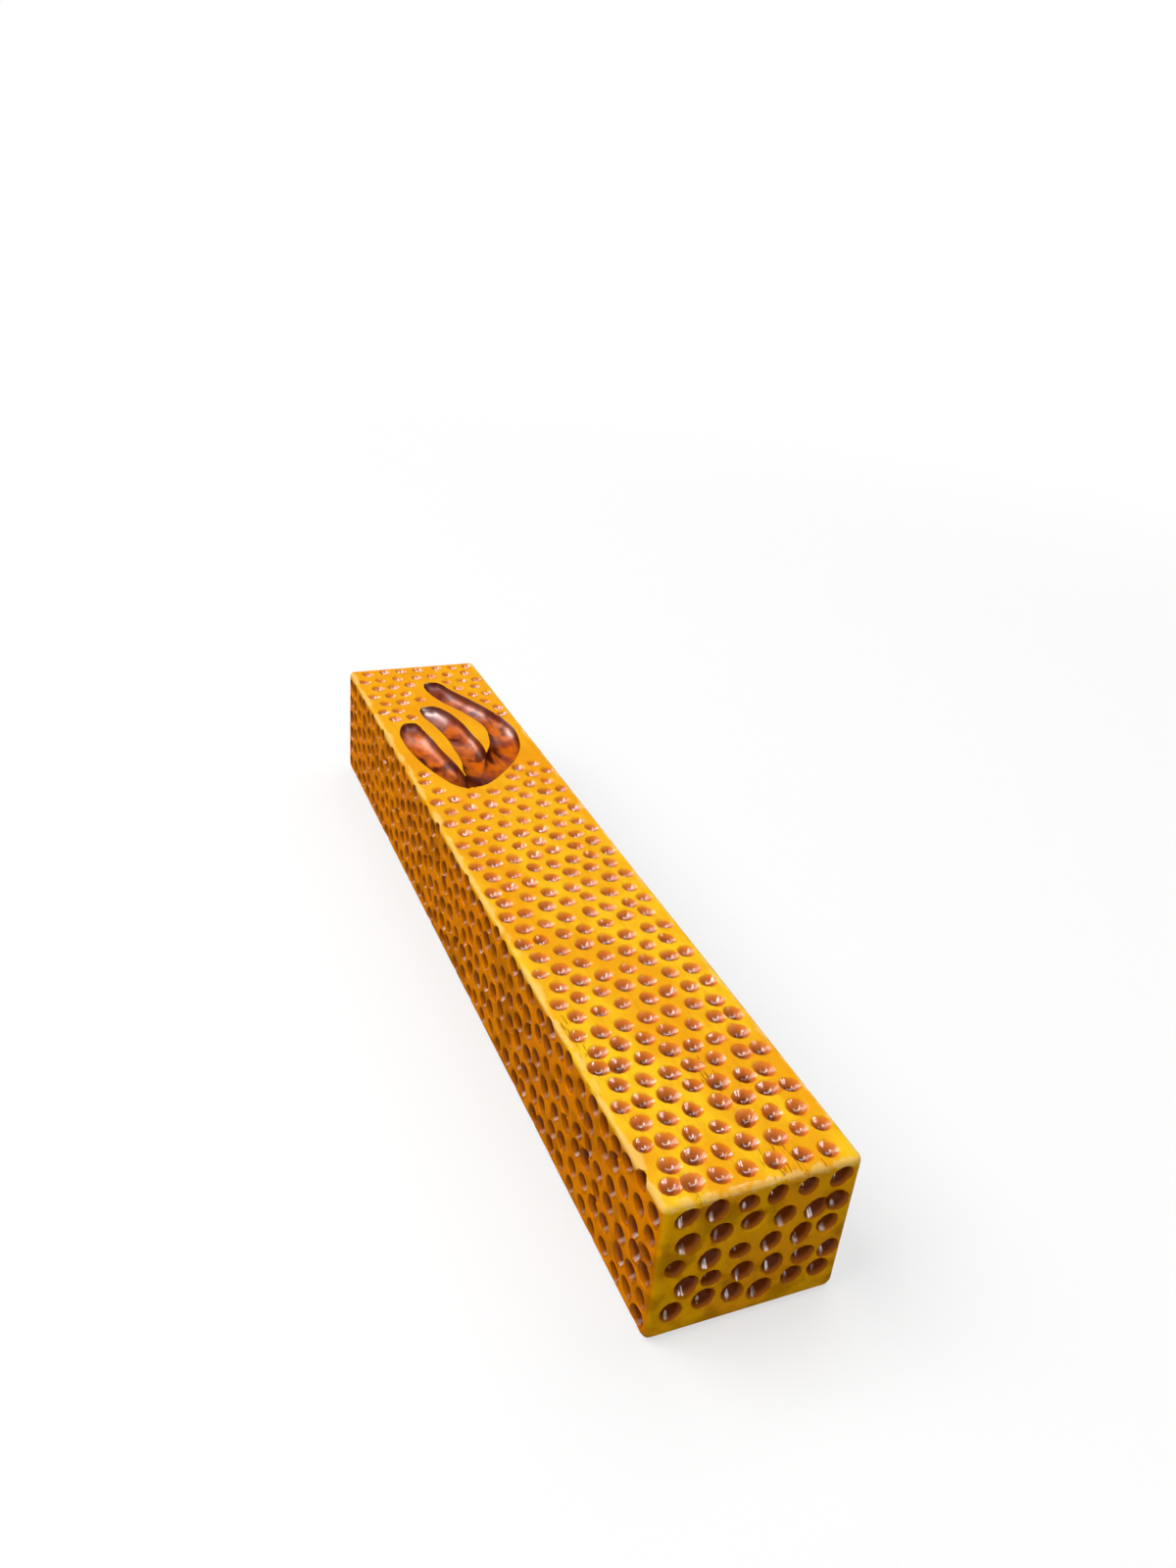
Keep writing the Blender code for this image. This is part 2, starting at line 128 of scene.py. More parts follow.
RIGHT_ARM_MM = (
    (1.2, 7.9, 0.4),
    (1.2, 8.4, 1.2),
    (1.4, 9.8, 1.9),
    (1.9, 12.6, 2.25),
    (3.0, 15.6, 2.45),
    (6.0, 22.2, 2.4),
    (7.9, 29.0, 2.45),
    (7.6, 33.0, 2.65),
    (5.5, 39.0, 2.65),
    (0.2, 45.5, 2.6),
    (-2.3, 48.0, 2.15),
    (-3.4, 49.2, 1.5),
    (-3.9, 50.0, 0.7),
)
EMBLEM_ARMS_MM = (LEFT_ARM_MM, MIDDLE_ARM_MM, RIGHT_ARM_MM)
EMBLEM_STEPS = 8
# The gouge enters each arm at its tip on a slope
ENTRY_RISE = 0.5 * MM
ENTRY_LENGTH = 12 * MM
# Its floor rises and falls a little from one place to the next
GOUGE_CHATTER = 0.10 * MM
# Hollows keep a land round the emblem: they are moved aside a little, or left out
EMBLEM_LAND = 0.35 * MM
MOVED_ASIDE_MOST = 1.5 * MM
LEAST_SPACING = 2.7 * MM
# What counts as clear of the emblem after a move
MOVE_LEFT_OVER = 0.01 * MM
# Hollows in the rows are cut in four passes, and those moved aside in five more
ROW_PASSES = 4
MOVED_PASSES = 5
# Beside the emblem's widest part the wood is left plain, from here to here below the top end
PLAIN_BAND = (25 * MM, 43 * MM)
# Half of the gouge's stroke across, as (share of the half width, height in half widths)
GOUGE_OUTLINE = (
    (1.12, 0.30),
    (1.04, 0.05),
    (0.99, -0.06),
    (0.95, -0.28),
    (0.86, -0.52),
    (0.66, -0.72),
    (0.36, -0.82),
)
GOUGE_FLOOR = -0.85
GOUGE_WELD = 0.001 * MM

# The lid groove and the parchment channel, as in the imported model
GROOVE_FLOOR = 3.7 * MM
GROOVE_HALF_WIDTH_AT_BACK = 8.2 * MM
DOVETAIL_ANGLE = math.radians(14)
GROOVE_FOOT = -58.97 * MM
CHANNEL_HALF_WIDTH = 6.5 * MM
CHANNEL_HALF_LENGTH = 55.97 * MM
CHANNEL_FLOOR = 15.9 * MM
GROOVE_SIDES = 48
# Cutters reach this far outside the wood
CUT_PAST = 1.0 * MM

# The parchment, rolled up from its inner edge
ROLL_CORE_RADIUS = 2.0 * MM
ROLL_TURNS = 4
ROLL_STEPS_PER_TURN = 32
ROLL_STEPS_ALONG = 24
PARCHMENT_THICKNESS = 0.4 * MM
ROLL_PITCH = 0.85 * MM
PARCHMENT_BUCKLE = 0.10 * MM
PARCHMENT_BUCKLE_SPAN = 9 * MM
# The turns' edges don't lie quite flush at the roll's ends
EDGE_STAGGER = 0.35 * MM
EDGE_STAGGER_RATE = 3

# Slots of the carved block
LACQUER = 0
EMBLEM = 1
BARE = 2
HOLLOW = 3

# The hand's unsteadiness in every face: how far it moves, over what distance
SWELLS = ((0.09 * MM, 17 * MM), (0.035 * MM, 4 * MM))
# It fades out from this height down to the flat back
STEADY_BELOW = 4 * MM

# Faces that meet at a sharper angle than this keep a hard edge
CARVING_SHARP_ANGLE = math.radians(35)
ROLL_SHARP_ANGLE = math.radians(40)

# The photograph's camera
CAMERA_PLACE_MM = (-64.30, -151.55, 120.97)
CAMERA_TURN_DEGREES = (61.747, -5.113, -22.57)
CAMERA_LENS_MM = 28.89
CAMERA_SENSOR_MM = 36

# The studio
FLOOR_SIZE = 8
FLOOR_GAP = 0.05 * MM
FLOOR_NEAR = 0.20
FLOOR_FAR = 0.45
SHADOW_FADE = 0.6
FLOOR_WHITE = "#FAFAFA"
BACKDROP_WHITE = "#FFFFFF"
FLOOR_BOUNCE = "#4A4A4A"
ROOM_GREY = "#3A3A3A"
HORIZON_LOW = 0.10
HORIZON_HIGH = 0.30
# Soft boxes that light the case: place, size across and along or up, and glow
SOFT_BOXES = (
    ("left_box", (-0.75, 0.25, 1.00), (1.2, 1.0), 4.1),
    ("right_box", (0.50, 0.40, 1.20), (1.2, 0.9), 1.9),
    ("foot_box", (-0.25, -1.00, 0.55), (0.8, 0.5), 2.6),
)
# Lamps that show only as lights in the lacquer: a hoop of bars round a dim panel overhead, two upright bars
# at the right of the foot end, and two panels behind the case at the left
GLINT_LAMPS = (
    ("far_bar", (0.00, 0.32, 1.20), (1.24, 0.26), 85),
    ("right_bar", (0.62, 0.03, 1.20), (0.58, 0.26), 85),
    ("left_bar", (-0.62, 0.03, 1.20), (0.58, 0.26), 85),
    ("hoop_panel", (0.00, 0.03, 1.25), (1.0, 0.4), 2),
    ("upright_bar_left", (0.53, -0.70, 0.46), (0.20, 0.34), 75),
    ("upright_bar_right", (0.83, -0.49, 0.28), (0.18, 0.34), 75),
    ("left_glint", (-0.66, 0.95, 0.22), (0.50, 0.34), 45),
    ("sheen_panel", (-0.70, 0.68, 0.76), (0.7, 0.6), 22),
)


def deselect_all():
    bpy.ops.object.select_all(action="DESELECT")


def make_active(piece):
    deselect_all()
    piece.select_set(True)
    bpy.context.view_layer.objects.active = piece


def linear(hex_colour):
    """An sRGB hex colour as linear red, green, blue and alpha."""
    channels = [int(hex_colour[place : place + 2], 16) / 255 for place in (1, 3, 5)]
    return [c / 12.92 if c <= 0.04045 else ((c + 0.055) / 1.055) ** 2.4 for c in channels] + [1.0]


def add_node(tree, kind, feeds, **settings):
    """A node with its settings, fed by plain values or by other nodes' outputs."""
    made = tree.nodes.new(kind)
    for name, value in settings.items():
        setattr(made, name, value)
    for socket, feed in feeds.items():
        if isinstance(feed, bpy.types.NodeSocket):
            tree.links.new(feed, made.inputs[socket])
        else:
            made.inputs[socket].default_value = feed
    return made


def blend(tree, value, low, high, least=0, most=1):
    """A value that goes softly from its least to its most, as another goes from a low to a high limit."""
    feeds = {"Value": value, "From Min": low, "From Max": high, "To Min": least, "To Max": most}
    return add_node(tree, "ShaderNodeMapRange", feeds, interpolation_type="SMOOTHSTEP").outputs["Result"]


def combine(tree, operation, first, second):
    return add_node(tree, "ShaderNodeMath", {0: first, 1: second}, operation=operation).outputs[0]


def add_bump(tree, shader, height, distance, strength):
    """Relief finer than the mesh, by a pattern's height."""
    feeds = {"Height": height, "Distance": distance, "Strength": strength}
    bump = add_node(tree, "ShaderNodeBump", feeds).outputs[0]
    tree.links.new(bump, shader.inputs["Normal"])
    return bump


def start_block():
    """The block before it is carved, with rounded edges."""
    deselect_all()
    size = (2 * HALF_WIDTH, 2 * HALF_LENGTH, FRONT)
    bpy.ops.mesh.primitive_cube_add(size=1, location=(0, 0, FRONT / 2), scale=size)
    block = bpy.context.object
    block.name = "carved_case"
    bpy.ops.object.transform_apply(location=True, rotation=False, scale=True)
    widest = max(FRONT_ROUND, CORNER_ROUND, BACK_ROUND)
    shape = bmesh.new()
    shape.from_mesh(block.data)
    weight = shape.edges.layers.float.new("bevel_weight_edge")
    for edge in shape.edges:
        heights = [corner.co.z for corner in edge.verts]
        if min(heights) > FRONT / 2:
            edge[weight] = FRONT_ROUND / widest
        elif max(heights) < FRONT / 2:
            edge[weight] = BACK_ROUND / widest
        else:
            edge[weight] = CORNER_ROUND / widest
    shape.to_mesh(block.data)
    shape.free()
    rounding = block.modifiers.new("rounding", "BEVEL")
    rounding.limit_method = "WEIGHT"
    rounding.width = widest
    rounding.segments = ROUND_SEGMENTS
    bpy.ops.object.modifier_apply(modifier=rounding.name)
    return block


def cut_away(block, cutter, slot):
    """Takes a cutter's shape out of the block, and gives the cut faces one of the block's slots."""
    for face in cutter.data.polygons:
        face.material_index = slot
    make_active(block)
    cut = block.modifiers.new("cut", "BOOLEAN")
    cut.operation = "DIFFERENCE"
    cut.solver = "MANIFOLD"
    cut.object = cutter
    bpy.ops.object.modifier_apply(modifier=cut.name)
    bpy.data.objects.remove(cutter, do_unlink=True)


def bowl_mesh():
    """One hollow of unit half width and unit depth, with its lip at height 0."""
    deselect_all()
    rings = len(BOWL_OUTLINE) - 1
    bpy.ops.mesh.primitive_uv_sphere_add(segments=BOWL_SIDES, ring_count=rings, radius=1)
    ball = bpy.context.object
    for corner in ball.data.vertices:
        ring = round(math.acos(max(-1, min(1, corner.co.z))) / math.pi * rings)
        radius, height = BOWL_OUTLINE[ring]
        flat = corner.co.xy.normalized() * radius if 0 < ring < rings else Vector((0, 0))
        corner.co = (flat.x, flat.y, height)
    mesh = ball.data
    bpy.data.objects.remove(ball, do_unlink=True)
    return mesh


def staggered_rows(field, middle, dice, slant):
    """Hollow places on a flat field, as (pass, across, along), in staggered rows that a hand set out."""
    width, depth, pitch, per_row, row_pitch, rows, stray, stagger = field
    half_length = rows * row_pitch / 2
    places = []
    for row in range(rows):
        level = (row - (rows - 1) / 2) * row_pitch
        shift = stagger * pitch if row % 2 else -stagger * pitch
        # Rows slant most half-way along the field, and lie square at its ends
        row_slant = slant * (1 - (level / half_length) ** 2)
        for column in range(per_row):
            across = (column - (per_row - 1) / 2) * pitch + shift
            along = level + row_slant * across
            across += dice.gauss(0, stray)
            along += dice.gauss(0, stray)
            places.append((2 * (row % 2) + column % 2, middle[0] + across, middle[1] + along))
    return places


def aside_from_emblem(spot, reach):
    """How a hollow on the front has to move so that it leaves a land round the emblem's arms."""
    move = Vector((0, 0))
    for arm in EMBLEM_ARMS_MM:
        places = [Vector((across * MM, HALF_LENGTH - drop * MM, half * MM)) for across, drop, half in arm]
        for start, end in zip(places, places[1:]):
            share = intersect_point_line(spot, start.xy, end.xy)[1]
            nearest = start.lerp(end, min(max(share, 0), 1))
            away = spot - nearest.xy
            needed = nearest.z + reach + EMBLEM_LAND - away.length
            if needed > move.length:
                move = away.normalized() * needed
    return move


def front_hollows(dice):
    """Places and sizes of the hollows on the front, as (pass, spot, size), set out round the emblem."""
    kept = []
    moved = []
    for group, x, y in staggered_rows(FRONT_FIELD, FRONT_FIELD_MIDDLE, dice, ROW_SLANT):
        if PLAIN_BAND[0] < HALF_LENGTH - y < PLAIN_BAND[1]:
            continue
        spot = Vector((x, y))
        share = (y + HALF_LENGTH) / (2 * HALF_LENGTH)
        size = FRONT_SIZE_AT_FOOT + (FRONT_SIZE_AT_TOP - FRONT_SIZE_AT_FOOT) * share
        move = aside_from_emblem(spot, size * FRONT_FIELD[0] / 2)
        if not move.length:
            kept.append((group, spot, size))
        elif move.length < MOVED_ASIDE_MOST:
            moved.append((spot + move, size))
    for spot, size in moved:
        nearest = min((spot - other).length for _, other, _ in kept)
        still_near = aside_from_emblem(spot, size * FRONT_FIELD[0] / 2).length
        if nearest > LEAST_SPACING and still_near < MOVE_LEFT_OVER:
            kept.append((ROW_PASSES + len(kept) % MOVED_PASSES, spot, size))
    return kept


def carve_hollows(block):
    """Cuts every hollow, in passes in which no two hollows touch."""
    dice = random.Random(CARVING_SEED)
    bowl = bowl_mesh()
    passes = {}

    def add_hollow(group, place, outward, width, depth, whole_edges):
        half = width / 2 * dice.uniform(1 - BOWL_SIZE_SPREAD, 1 + BOWL_SIZE_SPREAD)
        depth *= dice.uniform(1 - BOWL_SIZE_SPREAD, 1 + BOWL_SIZE_SPREAD)
        stretch = dice.uniform(1 - BOWL_SIZE_SPREAD, 1 + BOWL_SIZE_SPREAD)
        tilt = Matrix.Rotation(dice.uniform(-BOWL_TILT, BOWL_TILT), 4, "X")
        turn = Matrix.Rotation(dice.uniform(0, math.pi), 4, "Z")
        reach = half * max(stretch, 1 / stretch) + EDGE_LAND
        for axis in whole_edges:
            place[axis] = min(max(place[axis], BLOCK_LOW[axis] + reach), BLOCK_HIGH[axis] - reach)
        facing = outward.to_track_quat("Z", "Y").to_matrix().to_4x4()
        size = Matrix.Diagonal((half * stretch, half / stretch, depth, 1))
        shape = passes.setdefault(group, bmesh.new())
        before = len(shape.verts)
        shape.from_mesh(bowl)
        shape.verts.ensure_lookup_table()
        move = Matrix.Translation(place) @ facing @ turn @ tilt @ size
        bmesh.ops.transform(shape, matrix=move, verts=shape.verts[before:])

    for group, spot, size in front_hollows(dice):
        width, depth = (size * measure for measure in FRONT_FIELD[:2])
        add_hollow(("front", group), Vector((*spot, FRONT)), Vector((0, 0, 1)), width, depth, (0, 1))
    for side in (-1, 1):
        for group, z, y in staggered_rows(SIDE_FIELD, SIDE_FIELD_MIDDLE, dice, 0):
            place = Vector((side * HALF_WIDTH, y, z))
            add_hollow(("sides", group), place, Vector((side, 0, 0)), *SIDE_FIELD[:2], (1,))
    for end, field, middle in ((-1, FOOT_FIELD, FOOT_FIELD_MIDDLE), (1, TOP_FIELD, TOP_FIELD_MIDDLE)):
        for group, x, z in staggered_rows(field, middle, dice, 0):
            place = Vector((x, end * HALF_LENGTH, z))
            add_hollow(("ends", group), place, Vector((0, end, 0)), *field[:2], (0, 2))
    for shape in passes.values():
        mesh = bpy.data.meshes.new("hollows")
        shape.to_mesh(mesh)
        shape.free()
        cutter = bpy.data.objects.new("hollows", mesh)
        bpy.context.collection.objects.link(cutter)
        cut_away(block, cutter, HOLLOW)


def gouge_stroke(arm):
    """The stroke of a gouge along one arm of the emblem, as a cutter."""
    half = list(GOUGE_OUTLINE)
    outline = half + [(0, GOUGE_FLOOR)] + [(-x, y) for x, y in reversed(half)]
    section = bpy.data.curves.new("gouge_section", "CURVE")
    section.dimensions = "2D"
    edge = section.splines.new("POLY")
    edge.points.add(len(outline) - 1)
    for point, (x, y) in zip(edge.points, outline):
        point.co = (x * MM, y * MM, 0, 1)
    edge.use_cyclic_u = True
    gouge = bpy.data.objects.new("gouge_section", section)
    bpy.context.collection.objects.link(gouge)
    path = bpy.data.curves.new("arm", "CURVE")
    path.dimensions = "3D"
    path.twist_mode = "Z_UP"
    path.bevel_mode = "OBJECT"
    path.bevel_object = gouge
    path.use_fill_caps = True
    path.resolution_u = EMBLEM_STEPS
    line = path.splines.new("BEZIER")
    line.radius_interpolation = "CARDINAL"
    line.bezier_points.add(len(arm) - 1)
    for index, (across, drop, half_width) in enumerate(arm):
        point = line.bezier_points[index]
        left_to_enter = max(0, 1 - (drop - arm[0][1]) * MM / ENTRY_LENGTH)
        height = FRONT + ENTRY_RISE * left_to_enter**2 + GOUGE_CHATTER * (index % 2)
        point.co = (across * MM, HALF_LENGTH - drop * MM, height)
        point.radius = half_width
        point.handle_left_type = "AUTO"
        point.handle_right_type = "AUTO"
    stroke = bpy.data.objects.new("arm", path)
    bpy.context.collection.objects.link(stroke)
    make_active(stroke)
    bpy.ops.object.convert(target="MESH")
    bpy.data.objects.remove(gouge, do_unlink=True)
    stroke = bpy.context.object
    bpy.ops.object.mode_set(mode="EDIT")
    bpy.ops.mesh.select_all(action="SELECT")
    bpy.ops.mesh.remove_doubles(threshold=GOUGE_WELD)
    bpy.ops.mesh.normals_make_consistent(inside=False)
    bpy.ops.object.mode_set(mode="OBJECT")
    return stroke


def unsteady_hand(block):
    """Swells the carved faces a little, as work without a machine is, and keeps the back flat."""
    for corner in block.data.vertices:
        grip = min(max(corner.co.z / STEADY_BELOW, 0), 1)
        moved = corner.co.copy()
        for reach, distance in SWELLS:
            moved += noise.noise_vector(corner.co / distance) * reach * grip
        corner.co = [min(max(moved[axis], BLOCK_LOW[axis]), BLOCK_HIGH[axis]) for axis in range(3)]


def dovetail_cutter():
    """The lid groove: a dovetail with a round foot that runs out through the top end."""
    deselect_all()
    back = GROOVE_HALF_WIDTH_AT_BACK - CUT_PAST * math.tan(DOVETAIL_ANGLE)
    floor = GROOVE_HALF_WIDTH_AT_BACK + GROOVE_FLOOR * math.tan(DOVETAIL_ANGLE)
    bpy.ops.mesh.primitive_cone_add(
        vertices=GROOVE_SIDES,
        radius1=back,
        radius2=floor,
        depth=GROOVE_FLOOR + CUT_PAST,
        location=(0, GROOVE_FOOT + floor, (GROOVE_FLOOR - CUT_PAST) / 2),
    )
    return bpy.context.object


def slot_cutter():
    """The parchment channel: an upright slot with half-round ends."""
    deselect_all()
    bpy.ops.mesh.primitive_cylinder_add(
        vertices=GROOVE_SIDES,
        radius=CHANNEL_HALF_WIDTH,
        depth=CHANNEL_FLOOR,
        location=(0, 0, CHANNEL_FLOOR / 2),
        rotation=(0, 0, math.pi / GROOVE_SIDES),
    )
    return bpy.context.object


def stretch_along(cutter, foot_shift, top_shift):
    """Moves a cutter's two halves apart along the case, and applies its place."""
    make_active(cutter)
    bpy.ops.object.transform_apply(location=True, rotation=True, scale=True)
    middle = sum(corner.co.y for corner in cutter.data.vertices) / len(cutter.data.vertices)
    for corner in cutter.data.vertices:
        corner.co.y += top_shift if corner.co.y > middle else foot_shift


def make_carved_case(materials):
    block = start_block()
    for material in materials:
        block.data.materials.append(material)
    carve_hollows(block)
    for arm in EMBLEM_ARMS_MM:
        cut_away(block, gouge_stroke(arm), EMBLEM)
    make_active(block)
    bpy.ops.object.mode_set(mode="EDIT")
    bpy.ops.mesh.select_all(action="SELECT")
    bpy.ops.mesh.quads_convert_to_tris()
    bpy.ops.object.mode_set(mode="OBJECT")
    unsteady_hand(block)
    groove = dovetail_cutter()
    stretch_along(groove, 0, 2 * HALF_LENGTH)
    cut_away(block, groove, BARE)
    channel = slot_cutter()
    stretch_along(channel, CHANNEL_HALF_WIDTH - CHANNEL_HALF_LENGTH, CHANNEL_HALF_LENGTH - CHANNEL_HALF_WIDTH)
    cut_away(block, channel, BARE)
    while len(block.data.materials) > len(materials):
        block.data.materials.pop()
    shape = bmesh.new()
    shape.from_mesh(block.data)
    for edge in shape.edges:
        slots = {face.material_index for face in edge.link_faces}
        if len(slots) > 1 and slots != {LACQUER, HOLLOW}:
            edge.smooth = False
    shape.to_mesh(block.data)
    shape.free()
    make_active(block)
    bpy.ops.object.shade_smooth_by_angle(angle=CARVING_SHARP_ANGLE, keep_sharp_edges=True)
    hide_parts("case_body")
    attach(block, "case")


def make_rolled_parchment(material):
    """A sheet drawn flat, rolled up, thickened, and a little buckled."""
    deselect_all()
    steps = ROLL_TURNS * ROLL_STEPS_PER_TURN
    bpy.ops.mesh.primitive_grid_add(x_subdivisions=steps, y_subdivisions=ROLL_STEPS_ALONG, size=2)
    roll = bpy.context.object
    roll.name = "rolled_parchment"
    middle = (SCROLL_LOW + SCROLL_HIGH) / 2
    outer_radius = (SCROLL_HIGH.z - SCROLL_LOW.z) / 2
    middle.z = SCROLL_LOW.z + outer_radius
    middle.x = 0
    half_length = (SCROLL_HIGH.y - SCROLL_LOW.y) / 2
    for corner in roll.data.vertices:
        turn = (corner.co.x + 1) / 2 * ROLL_TURNS
        share = corner.co.y
        angle = 2 * math.pi * turn
        radius = ROLL_CORE_RADIUS + PARCHMENT_THICKNESS / 2 + turn * ROLL_PITCH
        along = share * (half_length - EDGE_STAGGER * (1 + math.sin(EDGE_STAGGER_RATE * turn)) / 2)
        spot = Vector((radius * math.cos(angle), along, radius * math.sin(angle)))
        radius += noise.noise(spot / PARCHMENT_BUCKLE_SPAN) * PARCHMENT_BUCKLE - PARCHMENT_BUCKLE
        corner.co = middle + Vector((radius * math.cos(angle), along, radius * math.sin(angle)))
    make_active(roll)
    roll.location = (0, 0, 0)
    thicken = roll.modifiers.new("thickness", "SOLIDIFY")
    thicken.thickness = PARCHMENT_THICKNESS
    thicken.offset = 0
    bpy.ops.object.modifier_apply(modifier=thicken.name)
    bpy.ops.object.mode_set(mode="EDIT")
    bpy.ops.mesh.select_all(action="SELECT")
    bpy.ops.mesh.normals_make_consistent(inside=False)
    bpy.ops.object.mode_set(mode="OBJECT")
    bpy.ops.object.shade_smooth_by_angle(angle=ROLL_SHARP_ANGLE)
    roll.data.materials.append(material)
    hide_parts("scroll")
    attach(roll, "case")


def start_material(name, patterns):
    """A new material with its node tree, its shader, its object coordinates and its noise patterns.

    A pattern is given by the size of its marks across and along the grain, and by its detail.
    """
    made = bpy.data.materials.new(name)
    made.use_nodes = True
    tree = made.node_tree
    place = add_node(tree, "ShaderNodeTexCoord", {}).outputs["Object"]
    drawn = {}
    for pattern, (across, along, detail) in patterns.items():
        scale = (1 / across, 1 / along, 1 / across)
        sized = add_node(tree, "ShaderNodeMapping", {"Vector": place, "Scale": scale}).outputs[0]
        feeds = {"Vector": sized, "Scale": 1, "Detail": detail, "Roughness": 0.6}
        drawn[pattern] = add_node(tree, "ShaderNodeTexNoise", feeds).outputs["Fac"]
    return made, tree, tree.nodes["Principled BSDF"], place, drawn


def lay_colours(tree, base, layers):
    """Colours laid over each other, each where its value goes from its first limit to its second."""
    colour = linear(base)
    for value, low, high, most, hex_colour in layers:
        mask = blend(tree, value, low, high, 0, most)
        feeds = {0: mask, 6: colour, 7: linear(hex_colour)}
        colour = add_node(tree, "ShaderNodeMix", feeds, data_type="RGBA").outputs[2]
    return colour


def depth_below_faces(tree, place):
    """How far a point lies below the plain block's nearest and next nearest faces, its front and its ends."""
    middle = (0, 0, FRONT / 2)
    centred = add_node(tree, "ShaderNodeVectorMath", {0: place, 1: middle}, operation="SUBTRACT").outputs[0]
    folded = add_node(tree, "ShaderNodeVectorMath", {0: centred}, operation="ABSOLUTE").outputs[0]
    feeds = {0: (HALF_WIDTH, HALF_LENGTH, FRONT / 2), 1: folded}
    below = add_node(tree, "ShaderNodeVectorMath", feeds, operation="SUBTRACT").outputs[0]
    x, y, z = add_node(tree, "ShaderNodeSeparateXYZ", {0: below}).outputs
    near = combine(tree, "MINIMUM", x, y)
    far = combine(tree, "MAXIMUM", x, y)
    far = combine(tree, "MINIMUM", far, z)
    nearest = combine(tree, "MINIMUM", near, z)
    next_nearest = combine(tree, "MAXIMUM", near, far)
    height = add_node(tree, "ShaderNodeSeparateXYZ", {0: place}).outputs["Z"]
    under_front = combine(tree, "SUBTRACT", FRONT, height)
    return nearest, next_nearest, under_front, y


